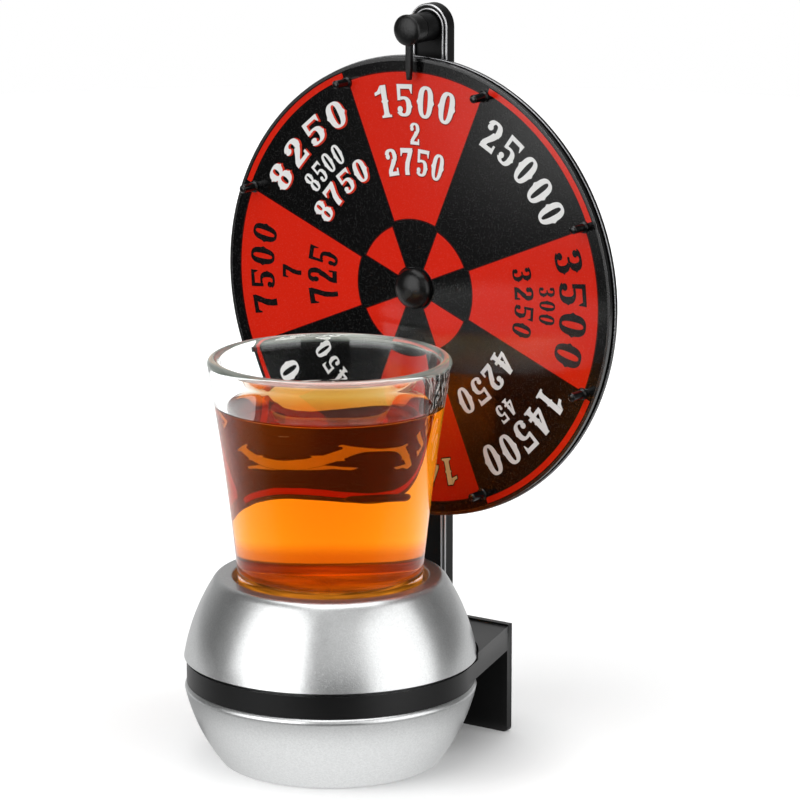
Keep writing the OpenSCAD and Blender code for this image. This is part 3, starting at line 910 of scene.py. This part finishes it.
@dataclass
class Wheel:
    """The wheel: mouldings, label, pegs, hub and print."""

    ink_step: float = 0.012
    stroke_step: float = 0.001
    widest: float = 1.5
    dome: float = 2.5
    cap_wall: float = 1.1
    cap_bore_r: float = 2.8
    cap_seat: float = 0.9
    cap_seat_r: float = 3.75
    cap_edge: float = 0.15
    sectors: tuple[Sector, ...] = (
        Sector(0, Look.WHITE_EDGED, (Row("1500", 35.7, 6.7, 21.2), Row("2", 30, 4.5, 3.2),
                Row("2750", 23.6, 5.6, 15.3))),
        Sector(45, Look.WHITE, (Row("25000", 35.3, 6.6, 25.9),)),
        Sector(90, Look.BLACK, (Row("3500", 35.8, 6.5, 25.8), Row("300", 30.9, 3.8, 8.5),
                Row("3250", 24.9, 4.6, 15.4))),
        Sector(135, Look.WHITE, (Row("14500", 35.8, 6.6, 25.3), Row("45", 30.5, 3.8, 5.4),
                Row("4250", 22.8, 5.6, 17.6))),
        Sector(180, Look.CREAM_EDGED, (Row("14505", 36, 5.6, 22.5), Row("475", 30, 4.2, 14),
                Row("55", 24, 4.6, 6.5))),
        Sector(225, Look.WHITE, (Row("1750", 36.6, 5.8, 22, 0.2), Row("7450", 26, 4.6, 14.5, 0.2))),
        Sector(270, Look.BLACK, (Row("7500", 36.2, 6.2, 20.2), Row("7", 29.1, 4.9, 3.5),
                Row("725", 19.9, 7.5, 12.2))),
        Sector(315, Look.WHITE_ON_RED, (Row("8250", 37, 5.5, 27.4), Row("8750", 24.6, 4.8, 18))),
        Sector(315, Look.WHITE, (Row("8500", 30.4, 4.4, 12.3),)),
    )

    @cached_property
    def axle(self) -> Triple:
        """The axle's point on the label's face, in metres."""
        low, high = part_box("face_label")
        return (0.0, low.y, (low.z + high.z) / 2)

    def build(self) -> None:
        """Dresses the wheel's nodes, and makes its cap and print."""
        dress("face_label", WheelPrint("wheel_print", self.axle))
        # The rim's softened edges get painted highlight lines.
        dress("wheel_disc", RIM, 0.16, HIGHLIGHT_EDGE)
        dress("wheel_back", RIM, 0.16, HIGHLIGHT_EDGE)
        dress("wheel_screws", STEEL, 0.05)
        dress("pegs", GLOSS, 0.1)
        dress("hub_bush", BRASS, 0.05)
        self.cap()
        self.print_numerals()

    def cap(self) -> None:
        """Makes the hub's domed cap: a straight side under half an ellipse."""
        low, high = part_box("hub_cap")
        radius, height = (high.x - low.x) / 2 / MM, (high.y - low.y) / MM
        t = np.linspace(0, np.pi / 2, 28)
        crown = np.column_stack([radius * np.cos(t), height + self.dome * (np.sin(t) - 1)])
        inner, bore_r = height - self.cap_wall, self.cap_bore_r
        inside = [(0, inner), (bore_r, inner), (bore_r, self.cap_seat),
                  (self.cap_seat_r, self.cap_seat), (self.cap_seat_r, 0),
                  (radius - self.cap_edge, 0), (radius, self.cap_edge)]
        base = np.array([0, high.y, self.axle[2]])
        form = lathe([crown, inside], 128, base, FRONT, closed=True)
        make_piece("hub_cap_dome", form, CAP, "wheel", ("hub_cap",))

    def ribbon(self, edges: Array, front: float, back: float) -> Form:
        """A stroke as a thin closed strip on the label.

        Args:
            edges: Both edges' points as angle and radius, in radians and metres.
            front: Where its front lies along the axle.
            back: Where its back lies.

        Returns:
            The strip.
        """
        angle, radius = edges[..., 0], edges[..., 1]
        x, z = radius * np.sin(angle), self.axle[2] + radius * np.cos(angle)
        near, far = (np.stack([x, np.full_like(x, y), z], -1) for y in (front, back))
        sections = np.stack([*near, *far[::-1]], 1)
        if np.allclose(sections[0], sections[-1], atol=SAME_POINT):
            return Form(sections[:-1].reshape(-1, 3), grid_faces(len(sections) - 1, 4, True))
        return loft(sections)

    def placed(self, stroke: Array, layer: Layer, row: Row, wide: float, centre: float,
               turn: float) -> Array:
        """A stroke's edges on the wheel.

        Its edges grow apart, and its ends grow along it. Radius = foot + height * y, and angle =
        the sector's turn + the distance along the row / the row's middle radius.

        Args:
            stroke: The stroke in its cell.
            layer: Its layer of print.
            row: Its row.
            wide: Millimetres for a cell's unit of width.
            centre: The cell's middle along the row.
            turn: The sector's turn in degrees.

        Returns:
            Angles and radii, 2 by points by 2.
        """
        edges = (stroke - [Numerals.WIDTH / 2, 0]) * [wide, row.height]
        across = unit_rows(edges[0] - edges[1])
        edges = edges + layer.grow * np.stack([across, -across])
        along = unit_rows(np.diff(edges.mean(0), axis=0))
        if not np.allclose(stroke[0, 0], stroke[0, -1]):
            edges[:, 0] -= along[0] * layer.grow
            edges[:, -1] += along[-1] * layer.grow
        edges += [centre + layer.shift, -layer.shift]
        angle = math.radians(turn) + edges[..., 0] / (row.foot + row.height / 2)
        return np.stack([angle, (row.foot + edges[..., 1]) * MM], -1)

    def print_numerals(self) -> None:
        """Makes all numerals, one piece for each layer of print.

        Strokes that cross lie a small step apart, and a layer of higher rank lies in front.
        """
        strokes = Numerals().strokes
        label_y = self.axle[1]
        back = label_y + self.ink_step * MM
        forms: dict[Layer, list[Form]] = {}
        numerals = [(sector, row, number) for sector in self.sectors for row in sector.rows
                    for number in range(len(row.digits))]
        for sector, row, number in numerals:
            cell = row.width / len(row.digits)
            wide = min(cell / (Numerals.WIDTH + row.gap), row.height * self.widest)
            centre = (number - (len(row.digits) - 1) / 2) * cell
            for layer in sector.look.value:
                for order, stroke in enumerate(strokes[row.digits[number]]):
                    out = layer.rank * self.ink_step + order * self.stroke_step
                    edges = self.placed(stroke, layer, row, wide, centre, sector.turn)
                    strip = self.ribbon(edges, label_y - out * MM, back)
                    forms.setdefault(layer, []).append(strip)
        for layer, parts in forms.items():
            make_piece(layer.name, merged(parts), layer.finish, "wheel")


@dataclass
class Pointer:
    """The pointer and its domed cap."""

    def build(self) -> None:
        """Dresses it."""
        dress("pointer", MATT, 0.12)
        dress("pointer_cap", MATT, 0.1)


@dataclass
class ShotGlass:
    """The glass and its drink, sizes in millimetres from the glass's foot."""

    foot_r: float = 18.6
    rim_r: float = 25.0
    height: float = 48.5
    flare: float = 0.33
    foot_round: float = 2.0
    wall: float = 2.4
    floor: float = 3.0
    foot_z: float = 35.75
    drink_top: float = 38.5
    climb: float = 0.7
    climb_reach: float = 0.8
    overlap: float = 0.12

    def outer(self, h: Array | float) -> Array:
        """The outer radius at height h: the foot's plus a rise that grows faster near the rim.

        Rise = (rim - foot) * ((1 - flare) * t + flare * t^2), with t = h / height.
        """
        t = h / self.height
        return self.foot_r + (self.rim_r - self.foot_r) * ((1 - self.flare) * t + self.flare * t**2)

    def side(self, count: int, inset: float, start: float, stop: float) -> Array:
        """The side from start to stop, moved towards the axis by inset."""
        h = np.linspace(start, stop, count)
        return np.column_stack([self.outer(h) - inset, h])

    def glass(self) -> Form:
        """The glass: foot, side, rounded rim, bore and curved floor."""
        lip, edge = self.wall / 2, self.foot_round
        top = self.height - lip
        side = self.side(30, 0.0, edge, top)
        knee = np.array([self.foot_r, 0.0])
        foot = curve(knee - [edge, 0], knee, side[0], 12)[:-1]
        t = np.linspace(0, np.pi, 15)[1:-1]
        rim = np.column_stack([self.outer(top) - lip + lip * np.cos(t), top + lip * np.sin(t)])
        bore = self.side(30, self.wall, self.floor + 3, top)[::-1]
        floor = self.dip(bore[-1], 0.0)
        return lathe([[(0, 0)], foot, side, rim, bore, floor], GLASS_STEPS, self.foot_z * MM * UP)

    def dip(self, start: Array, inset: float) -> Array:
        """The soft corner between bore and floor, then the floor to the axis."""
        low = self.floor - inset
        knee = np.array([self.outer(self.floor) - self.wall + inset, low])
        end = np.array([self.foot_r - self.wall - 4, low])
        return np.vstack([curve(start, knee, end, 14)[1:], [(0, low)]])

    def drink(self) -> Form:
        """The drink: it reaches a little into the glass, and its surface climbs the wall.

        Height = top + climb * exp(-distance from the wall / reach).
        """
        side = self.side(26, self.wall - self.overlap, self.floor + 3, self.drink_top + self.climb)
        bottom = self.dip(side[0], self.overlap)[::-1]
        wall_r = side[-1, 0]
        r = np.array([*(wall_r - np.array([0.25, 0.6, 1.1, 1.8, 2.8, 4.5])), 12.0, 6.0, 0.0])
        h = self.drink_top + self.climb * np.exp((r - wall_r) / self.climb_reach)
        surface = np.column_stack([r, h])
        return lathe([bottom, side, surface], GLASS_STEPS, self.foot_z * MM * UP)

    def build(self) -> None:
        """Makes the glass and its drink."""
        clear, amber = ClearGlass("pressed_glass"), AmberDrink("amber_drink")
        glass = self.glass()
        make_piece("shot_glass_clear", glass, clear, "glass", ("shot_glass",), 80)
        make_piece("amber_drink", self.drink(), amber, "glass", (), 80)


# Studio


@dataclass(frozen=True)
class SoftBox:
    """A soft box that faces the object, or the table where it hangs overhead.

    Its azimuth is in degrees, 0 at the front, its power in watts and the rest in metres.
    """

    name: str
    azimuth: float
    distance: float
    height: float
    width: float
    tall: float
    power: float
    overhead: bool = False

    def build(self) -> None:
        """Makes the light."""
        data = bpy.data.lights.new(self.name, "AREA")
        data.shape = "RECTANGLE"
        data.size, data.size_y, data.energy = self.width, self.tall, self.power
        made = add(self.name, data)
        a = math.radians(self.azimuth)
        made.location = (self.distance * math.sin(a), -self.distance * math.cos(a), self.height)
        aim = Vector((0.0, 0.0, 0.0 if self.overhead else self.height)) - made.location
        made.rotation_mode = "QUATERNION"
        made.rotation_quaternion = aim.to_track_quat("-Z", "Y")
        made.visible_camera = False


@dataclass
class Studio:
    """Floor, light and camera, in metres and degrees.

    A ramp has its start and stop and what it gives there, an edge its place and how far it fades.
    """

    azimuth: float = 35.19
    elevation: float = 12.64
    camera_at: Triple = (0.50449, -0.69078, 0.26711)
    lens: float = 195.1
    lights: tuple[SoftBox, ...] = (
        SoftBox("left_box", -9.4, 0.95, 0.459, 0.862, 1.042, 8.1),
        SoftBox("left_fill", -40.4, 0.95, 0.425, 0.22, 0.75, 0.9),
        SoftBox("front_fill", 48.0, 0.97, 0.625, 0.63, 0.85, 1.1),
        SoftBox("right_box", 95.0, 0.95, 0.32, 1.05, 1.14, 6.9),
        SoftBox("top_box", 60.0, 0.1, 1.3, 1.3, 1.3, 13.0, overhead=True),
    )
    backdrop: Triple = (-0.576, 0.817, 0.0)
    room: Ramp = (0.4, 1.0, 0.04, 0.6)
    room_through_glass: Ramp = (-0.1, 0.45, 0.5, 1.0)
    floor_centre: Pair = (-0.248, 0.353)
    floor_r: float = 0.5
    floor_tones: tuple[Triple, Triple] = (grey(0.86), grey(0.88))
    # The floor's glows and its near, far and shadow tones paint light and shade: less light near the
    # object, and a dark patch under its back.
    glow_centre: Triple = (0.012, 0.012, 0.0)
    painted_floor_glow: tuple[Ramp, Ramp] = ((0.015, 0.042, 0.03, 0.26), (0.05, 0.3, 0.0, 0.47))
    near_edge: Pair = (0.045, 0.012)
    near_tone: Pair = (1.2, 0.6)
    side_edge: Pair = (-0.008, 0.03)
    far_tone: Pair = (0.3, 1.0)
    back_edge: Pair = (0.04, 0.06)
    under_edge: Pair = (0.037, 0.004)
    under_back: Pair = (0.008, 0.008)
    painted_shadow_tone: float = 0.1

    def camera(self) -> None:
        """Sets the camera as the photograph was taken."""
        data = bpy.data.cameras.new("camera")
        data.lens, data.sensor_width, data.clip_end = self.lens, 36.0, 50.0
        made = add("camera", data)
        made.location = self.camera_at
        made.rotation_euler = [math.radians(a) for a in (90 - self.elevation, 0, self.azimuth)]
        bpy.context.scene.camera = made

    def world(self) -> None:
        """White to the camera, and otherwise a dim room with a pale backdrop behind the object.

        The backdrop's share grows smoothly as a ray turns towards it. Light that comes through
        glass meets a wider and brighter one.
        """
        made = bpy.data.worlds.new("room")
        bpy.context.scene.world = made
        tree = Tree(made, "World", "Generated")
        reach = tree.vector("DOT_PRODUCT", tree.place, self.backdrop)
        room, through = (tree.coloured("Background", tree.ramp(reach, *ramp))
                         for ramp in (self.room, self.room_through_glass))
        inside = tree.join("MixShader", tree.ray("Transmission"), room, through)
        white = tree.coloured("Background", 1.0)
        tree.finish("Surface", tree.join("MixShader", tree.ray("Camera"), inside, white))

    def floor(self) -> None:
        """A round table top, as rings of points about its centre: a stage piece.

        The camera sees a pale, faintly glowing top, also through the glass; it glows less near the
        object and so paints shade round it. All other rays meet a painted pattern of grey light and
        shade, with a painted shadow, a dark patch, under the object's back.
        """
        angles = np.linspace(0, 2 * np.pi, 96, endpoint=False)
        r, t = np.meshgrid(np.linspace(0, self.floor_r, 12), angles, indexing="ij")
        x, y = self.floor_centre
        points = np.stack([x + r * np.cos(t), y + r * np.sin(t), 0 * r], -1).reshape(-1, 3)
        mesh = bpy.data.meshes.new("table_top")
        mesh.from_pydata(points.tolist(), [], grid_faces(12, 96, False))
        made = add("table_top", mesh)
        tree = Tree.of_material("pale_table")
        # Painted shade: the top glows more with distance from the object, so it is darker round it.
        away = tree.vector("LENGTH", tree.moved(self.glow_centre))
        tree.shade(
            Base_Color=tree.mix(tree.noise(60.0), *self.floor_tones),
            Roughness=0.55,
            Specular_IOR_Level=0.2,
            Emission_Color=(1.0, 1.0, 1.0, 1.0),
            Emission_Strength=tree.plus(*(tree.ramp(away, *ramp) for ramp in self.painted_floor_glow)),
        )
        # Painted light and shade for all other rays: grey tones round the object, and a painted
        # shadow under its back.
        reach = tree.vector("LENGTH", tree.place)
        behind = tree.vector("DOT_PRODUCT", tree.place, self.backdrop)
        outside = tree.step(reach, *self.near_edge)
        far = tree.spread(tree.step(behind, *self.back_edge), *self.far_tone)
        near = tree.spread(tree.step(behind, *self.side_edge), *self.near_tone)
        tone = tree.plus(tree.times(outside, far), tree.times(tree.flip(outside), near))
        under = tree.times(tree.flip(tree.step(reach, *self.under_edge)),
                           tree.step(behind, *self.under_back))
        grey = tree.coloured("Emission", tree.times(tone, tree.spread(under, 1.0, self.painted_shadow_tone)))
        seen = tree.math("MAXIMUM", tree.ray("Camera"), tree.ray("Transmission"))
        tree.finish("Surface", tree.join("MixShader", seen, grey, tree.shader.outputs[0]))
        mesh.materials.append(tree.owner)

    def build(self) -> None:
        """Makes the studio."""
        self.camera()
        self.world()
        self.floor()
        for box in self.lights:
            box.build()
        bpy.context.scene.view_settings.view_transform = "Standard"
        log.info("studio: %d lights", len(self.lights))


def main() -> None:
    """Builds the studio and the sub-assemblies."""
    logging.basicConfig(level=logging.INFO, format="%(message)s")
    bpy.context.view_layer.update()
    for part in (Studio(), BallBase(), Stand(), Wheel(), Pointer(), ShotGlass()):
        part.build()


if __name__ == "__main__":
    main()
